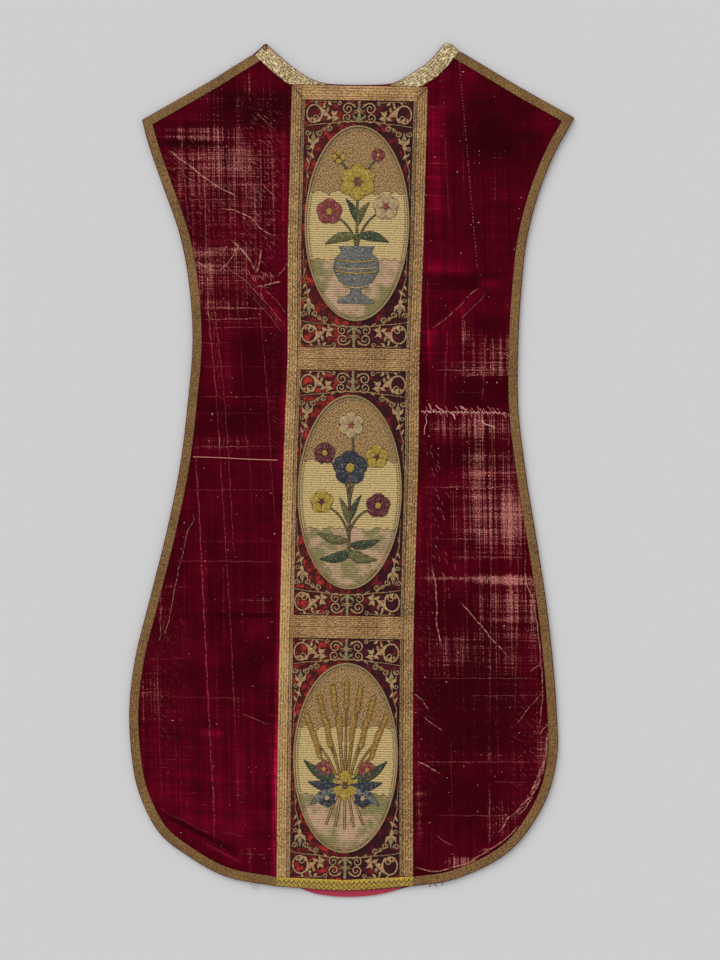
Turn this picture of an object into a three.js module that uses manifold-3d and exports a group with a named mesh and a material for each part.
// A fiddleback chasuble laid flat with its back uppermost.
// Millimetres. +X is to the right of the back as it is looked at, +Y runs towards the neck and
// +Z up out of the cloth. The front lies hidden under the back and rests on z = 0.
import * as THREE from "three";
import { mergeVertices } from "three/addons/utils/BufferGeometryUtils.js";
import Module from "manifold-3d";

const wasm = await Module();
wasm.setup();

// Driving sizes

const GAP = 0.3; // between layers and at each seam
const FRONT_WALL = 2.0; // velvet and lining of the front, together
const LINING_WALL = 1.0;
const VELVET_WALL = 1.6;
const GALLOON_WALL = 1.2;
const BRAID_WALL = 1.0;
const SCROLL_WALL = 0.8;
const MEDALLION_WALL = 0.8;
const POSY_WALL = 1.0;
const CORD_RADIUS = 1.7;

const EDGE_WIDTH = 11;
const EDGE_INSET = 0.8; // the velvet's turned edge, which shows outside the edge galloon
const NECK_WIDTH = 23;
const COLUMN_WIDTH = 14;
const BRAID_WIDTH = 5;
const UNDERLAP = 8; // how far the velvet reaches in under a column galloon
const LINING_INSET = 1.0;
const FRONT_INSET = 3.5;
const SHOULDER_INSET = 0.4; // of the front, along the shoulder seams

const CURVE_STEP = 28; // length of one straight piece along a drawn curve
const OVAL_SIDES = 40;
const CORD_SIDES = 6;
const SPIRAL_STEPS = 7; // straight pieces in one turn
const STEM_STEPS = 3; // and in a bowed stem
const LEAF_STEPS = 3;
const LEAF_TIP = 0.4; // half the width of a leaf's blunt tip
const POINTS_PER_PETAL = 3;
const PETAL_NOTCH = 0.24; // depth of the notch between petals, as a share of the blossom's radius
const RUN_ON = 22; // how far a shoulder's edge galloon runs on before the neck galloon cuts it off
const FAR = 800; // reaches past the garment on every side

// The outline of the back, in stretches that meet at its corners

const NECK_LINE = [
  { x: -129.5, y: 594.5 },
  { x: -100, y: 569 },
  { x: -80, y: 554 },
  { x: -60, y: 544 },
  { x: -42, y: 540.6 },
  { x: 3, y: 541 },
  { x: 46, y: 541.6 },
  { x: 60, y: 544.5 },
  { x: 79, y: 558 },
  { x: 99, y: 573 },
  { x: 120.5, y: 598.5 },
];
const RIGHT_SHOULDER = [
  { x: 129, y: 598.7 },
  { x: 141, y: 589 },
  { x: 225.8, y: 540 },
  { x: 303.5, y: 498 },
];
const LEFT_SHOULDER = [
  { x: -206.9, y: 540 },
  { x: -145.8, y: 579.5 },
];
const SIDES = [
  { at: "left shoulder's tip", y: 484.5, left: -300.5, right: 296.4 },
  { at: "upper arm", y: 450, left: -290.7, right: 277.8 },
  { at: "upper arm", y: 390, left: -268.7, right: 255.0 },
  { at: "armhole", y: 330, left: -246.6, right: 240.7 },
  { at: "armhole", y: 270, left: -233.0, right: 234.4 },
  { at: "waist", y: 180, left: -224.6, right: 230.6 },
  { at: "waist", y: 90, left: -229.8, right: 232.3 },
  { at: "hip", y: 0, left: -239.4, right: 244.4 },
  { at: "hip", y: -90, left: -256.1, right: 260.6 },
  { at: "skirt", y: -180, left: -276.9, right: 276.0 },
  { at: "skirt", y: -270, left: -297.4, right: 287.6 },
  { at: "widest", y: -335, left: -303.8, right: 293.4 },
  { at: "widest", y: -390, left: -301.2, right: 295.2 },
  { at: "hem's bend", y: -450, left: -290.4, right: 282.6 },
  { at: "hem's bend", y: -510, left: -259.9, right: 248.0 },
  { at: "hem's bend", y: -540, left: -223.0, right: 215.2 },
  { at: "hem", y: -570, left: -166.5, right: 151.4 },
];
const HEM_RIGHT = { x: 97, y: -579.5 };
const HEM_MIDDLE = { x: 0, y: -587.4 };
const HEM_LEFT = { x: -94.5, y: -583 };
const LINING_CRESCENT = [
  { x: 97, y: -576 },
  { x: 58, y: -590.4 },
  { x: 6, y: -596.5 },
  { x: -40, y: -592.6 },
  { x: -76, y: -581 },
];
const FRONT_NECK = [
  { x: -131, y: 591.5 },
  { x: -112, y: 545 },
  { x: -72, y: 488 },
  { x: 0, y: 462 },
  { x: 74, y: 490 },
  { x: 110, y: 548 },
  { x: 129, y: 595.5 },
];

// The orphrey column: its outer edges, and its panels with the outer sizes of their ovals

const COLUMN = [
  { at: "top", y: 539, left: -92, right: 98 },
  { at: "first panel", y: 320, left: -94, right: 96 },
  { at: "upper cross galloons", y: 155, left: -91.5, right: 93 },
  { at: "second panel", y: 20, left: -94.5, right: 94 },
  { at: "lower cross galloons", y: -219, left: -95.8, right: 91.5 },
  { at: "third panel", y: -400, left: -96, right: 93.5 },
  { at: "hem", y: -600, left: -94, right: 97.5 },
];
const PANELS = [
  { name: "1", top: 519, bottom: 171, ovalX: 2.4, ovalY: 345, halfWide: 73.4, halfHigh: 137 },
  { name: "2", top: 139.5, bottom: -203.4, ovalX: -1.2, ovalY: -30.5, halfWide: 73, halfHigh: 136 },
  { name: "3", top: -235, bottom: -571, ovalX: -0.6, ovalY: -402, halfWide: 73.4, halfHigh: 133 },
];
const [PANEL_1, PANEL_2, PANEL_3] = PANELS;
const HEM_GALLOON_TOP = [
  { x: -120, y: -569.5 },
  { x: 0, y: -572.6 },
  { x: 120, y: -564.5 },
];
const NECK_GALLOON_ENDS = { left: -47, right: 53 };

// The seams of the velvet

const LEFT_SEAMS = { upper: 270, lower: 13.5 };
const RIGHT_SEAMS = { upper: 276, lower: 84 };
const SLANTING_SEAM = { top: { x: 142.7, y: 569.6 }, foot: { x: 173, y: 276 } };

// One half of the scrollwork at a panel's end: x outwards from its middle, y in from the end

const STALK = [
  { y: 2, half: 1 },
  { y: 6, half: 3 },
  { y: 9, half: 1.2 },
  { y: 17, half: 2.6 },
  { y: 21, half: 1.2 },
  { y: 28, half: 3.2 },
  { y: 31, half: 1.4 },
];
const SPIRALS = [
  { at: "by the stalk's head", x: 10, y: 10.5, from: 8.4, to: 2.6, start: 3.3, turns: 1.25, wide: 2 },
  { at: "by the stalk's foot", x: 9, y: 24.5, from: 7.6, to: 2.6, start: 2.6, turns: -1.2, wide: 2 },
  { at: "the outer scroll", x: 56, y: 18.5, from: 13.4, to: 3.4, start: 2.5, turns: 1.4, wide: 2.4 },
];
const STEMS = [
  { at: "stalk's foot to outer scroll", x: 14, y: 27, toX: 44.8, toY: 25.4, bow: -3.5, wide: 2.2 },
  { at: "along the oval's shoulder", x: 12, y: 31, toX: 69.5, toY: 104, bow: 13, wide: 2 },
];
const HALF_LEAVES = [
  { at: "the large leaf", x: 16, y: 28, toX: 41, toY: 4.5, wide: 11, bow: 3 },
  { at: "tip of the shoulder stem", x: 69, y: 98, toX: 71.6, toY: 124, wide: 4.5, bow: 0 },
];

// The raised flowers on the medallions, from each oval's middle

const POSIES = [
  [
    { part: "stem", x: 0, y: -40, toX: 0, toY: 56, bow: 0, wide: 4 },
    { part: "stem", x: 0, y: -36, toX: -38, toY: 14, bow: 9, wide: 3 },
    { part: "stem", x: 0, y: -36, toX: 39, toY: 22, bow: -9, wide: 3 },
    { part: "stem", x: 0, y: 30, toX: -27, toY: 90, bow: 6, wide: 2.6 },
    { part: "stem", x: 0, y: 30, toX: 28, toY: 94, bow: -6, wide: 2.6 },
    { part: "blossom", x: 0, y: 58, size: 25, petals: 6 },
    { part: "blossom", x: -39, y: 16, size: 18, petals: 5 },
    { part: "blossom", x: 40, y: 24, size: 18, petals: 5 },
    { part: "blossom", x: -27, y: 92, size: 9, petals: 4 },
    { part: "blossom", x: 28, y: 96, size: 9, petals: 4 },
    { part: "leaf", x: -1, y: -18, toX: -44, toY: -30, wide: 13, bow: 4 },
    { part: "leaf", x: 1, y: -18, toX: 45, toY: -26, wide: 13, bow: -4 },
    { part: "leaf", x: -1, y: 2, toX: -16, toY: 34, wide: 9, bow: 3 },
    { part: "leaf", x: 1, y: -2, toX: 17, toY: 30, wide: 9, bow: -3 },
    { part: "pot", x: 0, y: -75, size: 37 },
  ],
  [
    { part: "stem", x: 0, y: -92, toX: 0, toY: 30, bow: 0, wide: 4.4 },
    { part: "stem", x: 0, y: -62, toX: -39, toY: -16, bow: 8, wide: 3 },
    { part: "stem", x: 0, y: -56, toX: 40, toY: -20, bow: -8, wide: 3 },
    { part: "stem", x: 0, y: -20, toX: -36, toY: 50, bow: 10, wide: 3 },
    { part: "stem", x: 0, y: -14, toX: 37, toY: 46, bow: -10, wide: 3 },
    { part: "stem", x: 0, y: 28, toX: 0, toY: 92, bow: 4, wide: 2.8 },
    { part: "blossom", x: 0, y: 34, size: 23, petals: 5 },
    { part: "blossom", x: -39, y: -14, size: 16, petals: 5 },
    { part: "blossom", x: 40, y: -18, size: 17, petals: 5 },
    { part: "blossom", x: -36, y: 54, size: 15, petals: 5 },
    { part: "blossom", x: 37, y: 50, size: 16, petals: 5 },
    { part: "blossom", x: 0, y: 94, size: 18, petals: 6 },
    { part: "leaf", x: -1, y: -68, toX: -44, toY: -58, wide: 12, bow: -3 },
    { part: "leaf", x: 1, y: -74, toX: 43, toY: -66, wide: 12, bow: 3 },
    { part: "leaf", x: -1, y: -44, toX: -14, toY: -8, wide: 8, bow: 2 },
    { part: "leaf", x: 1, y: -40, toX: 16, toY: -4, wide: 8, bow: -2 },
    { part: "leaf", x: 4, y: -82, toX: -40, toY: -94, wide: 14, bow: -4 },
    { part: "leaf", x: -4, y: -82, toX: 40, toY: -94, wide: 14, bow: 4 },
  ],
  [
    ...[-44, -30, -15, 0, 15, 30, 44].flatMap((x) => wheat(x)),
    ...[-26, -13, 0, 13, 26].map((x) => ({
      part: "stem",
      x: x / 3.5,
      y: -42,
      toX: x,
      toY: -100 + Math.abs(x) / 4,
      bow: 0,
      wide: 4,
    })),
    { part: "leaf", x: -6, y: -35, toX: -48, toY: -24, wide: 13, bow: -5 },
    { part: "leaf", x: 6, y: -35, toX: 48, toY: -24, wide: 13, bow: 5 },
    { part: "leaf", x: -7, y: -44, toX: -46, toY: -60, wide: 12, bow: 4 },
    { part: "leaf", x: 7, y: -44, toX: 46, toY: -60, wide: 12, bow: -4 },
    { part: "blossom", x: 0, y: -38, size: 15, petals: 6 },
  ],
];
const POT_PROFILE = [
  { x: 0.66, y: -1 },
  { x: 0.7, y: -0.86 },
  { x: 0.2, y: -0.62 },
  { x: 0.18, y: -0.42 },
  { x: 0.62, y: -0.18 },
  { x: 0.86, y: 0.3 },
  { x: 0.8, y: 0.7 },
  { x: 0.54, y: 0.98 },
  { x: 0.66, y: 1.16 },
];

// An ear on its straw, leaning outwards with its distance from the middle of the sheaf.
function wheat(x) {
  const top = 78 - (x * x) / 48;
  const lean = x / 4.5;
  return [
    { part: "stem", x: x / 5, y: -34, toX: x, toY: top - 8, bow: -x / 12, wide: 2.6 },
    { part: "leaf", x: x - lean * 0.3, y: top - 12, toX: x + lean, toY: top + 26, wide: 10, bow: 0 },
  ];
}

// Curves and offsets

const point = (row) => new THREE.Vector2(row.x, row.y);

// A smooth curve through the rows, as points about CURVE_STEP apart.
function curve(rows) {
  const line = new THREE.CatmullRomCurve3(
    rows.map((row) => new THREE.Vector3(row.x, row.y, 0)),
    false,
    "centripetal",
  );
  const count = Math.round(line.getLength() / CURVE_STEP);
  return line.getSpacedPoints(count).map(point);
}

// The unit vector square to an edge, on its right.
function rightOf(from, to) {
  const along = to.clone().sub(from).normalize();
  return new THREE.Vector2(along.y, -along.x);
}

// A point moved to the right of the two edges that meet there, so that a corner stays mitred.
function moved(before, here, after, width) {
  const a = rightOf(before, here);
  const b = rightOf(here, after);
  return here.clone().addScaledVector(a.clone().add(b), width / (1 + a.dot(b)));
}

// A clockwise loop drawn inwards by a depth, or by a depth for each place in its list.
function inset(loop, depth) {
  return loop.map((here, i) => {
    const before = loop[(i + loop.length - 1) % loop.length];
    const after = loop[(i + 1) % loop.length];
    return moved(before, here, after, typeof depth === "number" ? depth : depth(i));
  });
}

// An open line moved to its right by a width, or by a width for each place in its list.
function beside(line, width) {
  const last = line.length - 1;
  return line.map((here, i) => {
    const before = i > 0 ? line[i - 1] : here.clone().multiplyScalar(2).sub(line[1]);
    const after = i < last ? line[i + 1] : here.clone().multiplyScalar(2).sub(line[last - 1]);
    return moved(before, here, after, typeof width === "number" ? width : width(i / last));
  });
}

// A line with its two ends moved outwards, or inwards where a length is negative.
function lengthened(line, atStart, atEnd = atStart) {
  const ends = line.map((p) => p.clone());
  const last = line.length - 1;
  ends[0].addScaledVector(line[0].clone().sub(line[1]).normalize(), atStart);
  ends[last].addScaledVector(line[last].clone().sub(line[last - 1]).normalize(), atEnd);
  return ends;
}

// The outline of a stroke of the given width along a line, narrowing to the given share.
function stroke(line, width, share = 0.7) {
  const half = (along) => (width / 2) * THREE.MathUtils.lerp(1, share, along);
  return [...beside(line, (along) => -half(along)), ...beside(line, half).reverse()];
}

// A line from the row's start to its end that bows sideways, or one straight piece.
function bowed(row, steps) {
  const count = row.part === "stem" && row.bow === 0 ? 1 : steps;
  const from = point(row);
  const to = new THREE.Vector2(row.toX, row.toY);
  const side = rightOf(from, to).multiplyScalar(row.bow);
  return Array.from({ length: count + 1 }, (_, i) =>
    from.clone().lerp(to, i / count).addScaledVector(side, Math.sin((Math.PI * i) / count)),
  );
}

// Solids and their joins

// A flat piece of the given outline between two heights.
function plate(shape, layer) {
  const geometry = new THREE.ExtrudeGeometry(new THREE.Shape(shape), {
    depth: layer.high - layer.low,
    bevelEnabled: false,
    steps: 1,
  });
  geometry.translate(0, 0, layer.low);
  return solid(geometry);
}

function solid(geometry) {
  geometry.deleteAttribute("normal");
  geometry.deleteAttribute("uv");
  const merged = mergeVertices(geometry, 1e-4);
  const mesh = new wasm.Mesh({
    numProp: 3,
    vertProperties: merged.attributes.position.array,
    triVerts: new Uint32Array(merged.index.array),
  });
  return new wasm.Manifold(mesh);
}

function geometryOf(made) {
  const mesh = made.getMesh();
  const geometry = new THREE.BufferGeometry();
  geometry.setAttribute("position", new THREE.BufferAttribute(mesh.vertProperties, 3));
  geometry.setIndex(new THREE.BufferAttribute(mesh.triVerts, 1));
  geometry.computeVertexNormals();
  return geometry;
}

const joined = (pieces) => pieces.reduce((whole, piece) => whole.add(piece));

// The heights of a layer of the given wall that lies on another.
const onTopOf = (below, wall) => ({ low: below.high + GAP, high: below.high + GAP + wall });

const FRONT = { low: 0, high: FRONT_WALL };
const LINING = onTopOf(FRONT, LINING_WALL);
const CLOTH = onTopOf(LINING, VELVET_WALL);
const GALLOON = onTopOf(CLOTH, GALLOON_WALL);
const BRAID = onTopOf(CLOTH, BRAID_WALL);
const SCROLL = onTopOf(CLOTH, SCROLL_WALL);
const MEDALLION = onTopOf(CLOTH, MEDALLION_WALL);
const POSY = onTopOf(MEDALLION, POSY_WALL);
const EVERY_HEIGHT = { low: -50, high: 50 };

// A tall block with the given outline, which cuts plates of any layer.
const cutter = (shape) => plate(shape, EVERY_HEIGHT);

const rectangle = (left, bottom, right, top) => [
  new THREE.Vector2(left, bottom),
  new THREE.Vector2(left, top),
  new THREE.Vector2(right, top),
  new THREE.Vector2(right, bottom),
];

// Everything to the right of a line, half a seam's gap away from it.
function beyond(from, to) {
  const line = lengthened([point(from), point(to)], FAR);
  return cutter([...beside(line, GAP / 2), ...beside(line, FAR).reverse()]);
}

// Everything below the hem galloon's upper edge, moved down by a distance.
function belowHemLine(drop) {
  const edge = HEM_GALLOON_TOP.map((row) => new THREE.Vector2(row.x, row.y - drop));
  return cutter([...edge, new THREE.Vector2(FAR, -FAR), new THREE.Vector2(-FAR, -FAR)]);
}

// The back's outline, clockwise from the left end of the neck

const sideRows = (side) => SIDES.map((row) => ({ x: row[side], y: row.y }));
const neck = curve(NECK_LINE);
const rightShoulder = RIGHT_SHOULDER.map(point);
const rightSide = curve([RIGHT_SHOULDER.at(-1), ...sideRows("right"), HEM_RIGHT]).slice(1);
const hem = curve([HEM_RIGHT, HEM_MIDDLE, HEM_LEFT]).slice(1);
const leftSide = curve([HEM_LEFT, ...sideRows("left").reverse()]).slice(1);
const leftShoulder = LEFT_SHOULDER.map(point);
const outline = [...neck, ...rightShoulder, ...rightSide, ...hem, ...leftSide, ...leftShoulder];
const RIGHT_TIP_AT = neck.length + rightShoulder.length - 1;
const HEM_RIGHT_AT = RIGHT_TIP_AT + rightSide.length;
const HEM_LEFT_AT = HEM_RIGHT_AT + hem.length;
const LEFT_TIP_AT = HEM_LEFT_AT + leftSide.length;

// The column's area

// A column edge's distance from the middle at a height, straight between the rows of COLUMN.
function columnEdge(side, y) {
  const at = THREE.MathUtils.clamp(y, COLUMN.at(-1).y, COLUMN[0].y);
  const i = COLUMN.findIndex((row, n) => n > 0 && row.y <= at);
  const share = (COLUMN[i - 1].y - at) / (COLUMN[i - 1].y - COLUMN[i].y);
  return THREE.MathUtils.lerp(COLUMN[i - 1][side], COLUMN[i][side], share);
}

// The column's edge between two heights, from the top down, moved in by a distance.
function columnLine(side, top, bottom, distance) {
  const sign = side === "left" ? 1 : -1;
  const heights = COLUMN.map((row) => row.y).filter((y) => y < top && y > bottom);
  return [top, ...heights, bottom].map(
    (y) => new THREE.Vector2(columnEdge(side, y) + sign * distance, y),
  );
}

const columnStrip = (side, top, bottom, near, far) => [
  ...columnLine(side, top, bottom, near),
  ...columnLine(side, top, bottom, far).reverse(),
];

const columnArea = (top, bottom, distance) => [
  ...columnLine("left", top, bottom, distance),
  ...columnLine("right", top, bottom, distance).reverse(),
];

// Between the middle of one pair of cross galloons and that of the next.
const upperMiddle = (PANEL_1.bottom + PANEL_2.top) / 2;
const lowerMiddle = (PANEL_2.bottom + PANEL_3.top) / 2;

// Cloth

const backCloth = plate(outline, CLOTH);

function frontPanel() {
  const onShoulder = (i) => i <= RIGHT_TIP_AT || i >= LEFT_TIP_AT;
  const edge = inset(outline, (i) => (onShoulder(i) ? SHOULDER_INSET : FRONT_INSET));
  return plate([...curve(FRONT_NECK), ...edge.slice(neck.length + 1)], FRONT);
}

function backLining() {
  const crescent = [...curve(LINING_CRESCENT), new THREE.Vector2(0, PANEL_3.bottom)];
  return plate(inset(outline, LINING_INSET), LINING).add(plate(crescent, LINING));
}

// A piece of the velvet beside the column, between two seams.
function velvet(side, top, bottom) {
  const outwards = side === "left" ? -FAR : FAR;
  const area = [
    ...columnLine(side, top - GAP / 2, bottom + GAP / 2, UNDERLAP),
    new THREE.Vector2(outwards, bottom + GAP / 2),
    new THREE.Vector2(outwards, top - GAP / 2),
  ];
  return backCloth.intersect(cutter(area));
}

const ground = (top, bottom) =>
  backCloth.intersect(cutter(columnArea(top - GAP / 2, bottom + GAP / 2, UNDERLAP + GAP)));

// Galloons

const trimmed = inset(outline, EDGE_INSET);
const neckBand = (extra) => {
  const line = lengthened(neck, NECK_WIDTH);
  return cutter([...beside(line, -NECK_WIDTH), ...beside(line, NECK_WIDTH + extra).reverse()]);
};

function neckGalloon(left, right) {
  const area = rectangle(left, COLUMN[0].y + GAP, right, FAR);
  return plate(trimmed, GALLOON).intersect(neckBand(0)).intersect(cutter(area));
}

// A band along the outline between two places in its list, clear of the neck galloons and the column.
// Each end is drawn back from its neighbour, or runs on under it and is cut off there.
function edgeGalloon(from, to, atStart = -GAP, atEnd = -GAP) {
  const [outer, inner] = [trimmed, inset(outline, EDGE_INSET + EDGE_WIDTH)].map((loop) =>
    lengthened(loop.slice(from, to + 1), atStart, atEnd),
  );
  return plate([...outer, ...inner.reverse()], GALLOON)
    .intersect(cutter(trimmed))
    .subtract(neckBand(GAP))
    .subtract(cutter(columnArea(FAR, -FAR, -GAP)));
}

const hemGalloon = () =>
  plate(trimmed, GALLOON)
    .intersect(cutter(columnArea(FAR, -FAR, 0)))
    .intersect(belowHemLine(0));

const columnGalloon = (side) =>
  plate(columnStrip(side, COLUMN[0].y, HEM_MIDDLE.y, 0, COLUMN_WIDTH), GALLOON).subtract(
    belowHemLine(-GAP),
  );

function columnBraid(side, panel) {
  const near = COLUMN_WIDTH + GAP;
  return plate(
    columnStrip(side, panel.top - GAP, panel.bottom + GAP, near, near + BRAID_WIDTH),
    BRAID,
  ).subtract(belowHemLine(-GAP));
}

const crossGalloon = (top, bottom) => plate(columnArea(top, bottom, COLUMN_WIDTH + GAP), GALLOON);

// Medallions

// The oval's outline, the given distance inside the outer edge of its cord.
const oval = (panel, distance) =>
  new THREE.EllipseCurve(
    panel.ovalX,
    panel.ovalY,
    panel.halfWide - distance,
    panel.halfHigh - distance,
  )
    .getPoints(OVAL_SIDES)
    .slice(1);

const medallion = (panel) => plate(oval(panel, 2 * CORD_RADIUS + GAP), MEDALLION);

// A round cord on the oval: a torus whose points keep their places round the cord and go to the
// oval's own place and slope instead of the circle's.
function medallionCord(panel) {
  const ring = new THREE.TorusGeometry(2, 1, CORD_SIDES, OVAL_SIDES);
  const places = ring.getAttribute("position");
  const wide = panel.halfWide - CORD_RADIUS;
  const high = panel.halfHigh - CORD_RADIUS;
  for (let i = 0; i < places.count; i++) {
    const angle = Math.atan2(places.getY(i), places.getX(i));
    const out = (Math.hypot(places.getX(i), places.getY(i)) - 2) * CORD_RADIUS;
    const square = new THREE.Vector2(Math.cos(angle) * high, Math.sin(angle) * wide).normalize();
    places.setXYZ(
      i,
      panel.ovalX + wide * Math.cos(angle) + out * square.x,
      panel.ovalY + high * Math.sin(angle) + out * square.y,
      CLOTH.high + GAP + CORD_RADIUS * (1 + places.getZ(i)),
    );
  }
  return solid(ring);
}

// Raised embroidery

function leafOutline(row) {
  const half = (along) => Math.max((row.wide / 2) * Math.sin(Math.PI * along), LEAF_TIP);
  const line = bowed(row, LEAF_STEPS);
  return [...beside(line, (along) => -half(along)), ...beside(line, half).reverse()];
}

function spiralLine(row) {
  const count = Math.ceil(Math.abs(row.turns) * SPIRAL_STEPS);
  return Array.from({ length: count + 1 }, (_, i) => {
    const angle = row.start + (2 * Math.PI * row.turns * i) / count;
    const radius = THREE.MathUtils.lerp(row.from, row.to, i / count);
    return new THREE.Vector2(row.x + radius * Math.cos(angle), row.y + radius * Math.sin(angle));
  });
}

// The scrollwork between an oval and one end of its panel.
function scrollwork(panel, end) {
  const towardsOval = end === "top" ? -1 : 1;
  const middle = (columnEdge("left", panel[end]) + columnEdge("right", panel[end])) / 2;
  const half = [
    ...SPIRALS.map((row) => stroke(spiralLine(row), row.wide)),
    ...STEMS.map((row) => stroke(bowed(row, STEM_STEPS), row.wide)),
    ...HALF_LEAVES.map(leafOutline),
  ];
  const stalk = [
    ...STALK.map((row) => new THREE.Vector2(row.half, row.y)),
    ...STALK.map((row) => new THREE.Vector2(-row.half, row.y)).reverse(),
  ];
  const placed = (shape, sign) =>
    plate(
      shape.map((p) => new THREE.Vector2(middle + sign * p.x, panel[end] + towardsOval * p.y)),
      SCROLL,
    );
  const drawn = joined([
    placed(stalk, 1),
    ...half.map((shape) => placed(shape, 1)),
    ...half.map((shape) => placed(shape, -1)),
  ]);
  const clear = COLUMN_WIDTH + BRAID_WIDTH + 3 * GAP;
  return drawn
    .intersect(cutter(columnArea(panel.top - GAP, panel.bottom + GAP, clear)))
    .subtract(cutter(oval(panel, -GAP)))
    .subtract(belowHemLine(-GAP));
}

function posy(panel, rows) {
  const outlines = {
    stem: (row) => stroke(bowed(row, STEM_STEPS), row.wide),
    leaf: leafOutline,
    blossom: blossomOutline,
    pot: potOutline,
  };
  return joined(
    rows.map((row) => {
      const shape = outlines[row.part](row);
      return plate(
        shape.map((p) => new THREE.Vector2(panel.ovalX + p.x, panel.ovalY + p.y)),
        POSY,
      );
    }),
  );
}

// A circle whose radius swells once for each petal.
function blossomOutline(row) {
  const count = row.petals * POINTS_PER_PETAL;
  return Array.from({ length: count }, (_, i) => {
    const angle = (2 * Math.PI * i) / count;
    const radius = row.size * (1 - PETAL_NOTCH * (0.5 - 0.5 * Math.cos(row.petals * angle)));
    return new THREE.Vector2(row.x + radius * Math.sin(angle), row.y + radius * Math.cos(angle));
  });
}

function potOutline(row) {
  const at = (p, sign) => new THREE.Vector2(row.x + sign * p.x * row.size, row.y + p.y * row.size);
  return [...POT_PROFILE.map((p) => at(p, 1)), ...POT_PROFILE.map((p) => at(p, -1)).reverse()];
}

// Colours, and the garment put together

const finish = (color, roughness, metalness = 0) =>
  new THREE.MeshStandardMaterial({ color, roughness, metalness });

const FINISHES = {
  velvet: finish(0x5a0612, 0.9),
  fadedVelvet: finish(0x6e1420, 0.9),
  lining: finish(0x9c1c38, 0.6),
  satin: finish(0x7c1c14, 0.6),
  gold: finish(0x94794a, 0.45, 0.5),
  olive: finish(0x7c5e34, 0.55, 0.35),
  yellow: finish(0x957732, 0.55, 0.3),
  cream: finish(0xb49c70, 0.6, 0.2),
  couching: finish(0x96784a, 0.55, 0.3),
  silk: finish(0xa8935c, 0.6),
};

const garment = new THREE.Group();

function sew(name, made, material) {
  const mesh = new THREE.Mesh(geometryOf(made), FINISHES[material]);
  mesh.name = name;
  garment.add(mesh);
}

sew("front_panel", frontPanel(), "velvet");
sew("back_lining", backLining(), "lining");

const rightTop = velvet("right", FAR, RIGHT_SEAMS.upper);
const { top: slantTop, foot: slantFoot } = SLANTING_SEAM;
sew("velvet_left_top", velvet("left", FAR, LEFT_SEAMS.upper), "fadedVelvet");
sew("velvet_left_middle", velvet("left", LEFT_SEAMS.upper, LEFT_SEAMS.lower), "velvet");
sew("velvet_left_hem", velvet("left", LEFT_SEAMS.lower, -FAR), "velvet");
sew("velvet_right_top_inner", rightTop.intersect(beyond(slantTop, slantFoot)), "velvet");
sew("velvet_right_top_outer", rightTop.intersect(beyond(slantFoot, slantTop)), "velvet");
sew("velvet_right_middle", velvet("right", RIGHT_SEAMS.upper, RIGHT_SEAMS.lower), "velvet");
sew("velvet_right_hem", velvet("right", RIGHT_SEAMS.lower, -FAR), "fadedVelvet");

sew("orphrey_ground_1", ground(FAR, upperMiddle), "satin");
sew("orphrey_ground_2", ground(upperMiddle, lowerMiddle), "satin");
sew("orphrey_ground_3", ground(lowerMiddle, -FAR), "satin");

PANELS.forEach((panel, i) => {
  sew("medallion_" + panel.name, medallion(panel), "couching");
  sew("medallion_cord_" + panel.name, medallionCord(panel), "gold");
  sew("medallion_posy_" + panel.name, posy(panel, POSIES[i]), "silk");
  sew("scrollwork_top_" + panel.name, scrollwork(panel, "top"), "cream");
  sew("scrollwork_bottom_" + panel.name, scrollwork(panel, "bottom"), "cream");
  sew("column_braid_left_" + panel.name, columnBraid("left", panel), "olive");
  sew("column_braid_right_" + panel.name, columnBraid("right", panel), "olive");
});

sew("column_galloon_left", columnGalloon("left"), "gold");
sew("column_galloon_right", columnGalloon("right"), "gold");
sew("cross_galloon_top", crossGalloon(COLUMN[0].y, PANEL_1.top), "gold");
sew("cross_galloon_upper_a", crossGalloon(PANEL_1.bottom, upperMiddle + GAP / 2), "gold");
sew("cross_galloon_upper_b", crossGalloon(upperMiddle - GAP / 2, PANEL_2.top), "gold");
sew("cross_galloon_lower_a", crossGalloon(PANEL_2.bottom, lowerMiddle + GAP / 2), "gold");
sew("cross_galloon_lower_b", crossGalloon(lowerMiddle - GAP / 2, PANEL_3.top), "gold");
sew("hem_galloon", hemGalloon(), "yellow");

sew("neck_galloon_left", neckGalloon(-FAR, NECK_GALLOON_ENDS.left), "gold");
sew("neck_galloon_right", neckGalloon(NECK_GALLOON_ENDS.right, FAR), "gold");
sew("edge_galloon_left_shoulder", edgeGalloon(LEFT_TIP_AT, outline.length - 1, -GAP, RUN_ON), "olive");
sew("edge_galloon_left_side", edgeGalloon(HEM_LEFT_AT, LEFT_TIP_AT), "olive");
sew("edge_galloon_right_shoulder", edgeGalloon(neck.length + 1, RIGHT_TIP_AT, RUN_ON, -GAP), "olive");
sew("edge_galloon_right_side", edgeGalloon(RIGHT_TIP_AT, HEM_RIGHT_AT), "olive");

// The whole garment's box is centred on X = Y = 0.
const middle = new THREE.Box3().setFromObject(garment).getCenter(new THREE.Vector3());
garment.position.set(-middle.x, -middle.y, 0);

const chasuble = new THREE.Group();
chasuble.add(garment);
export default chasuble;
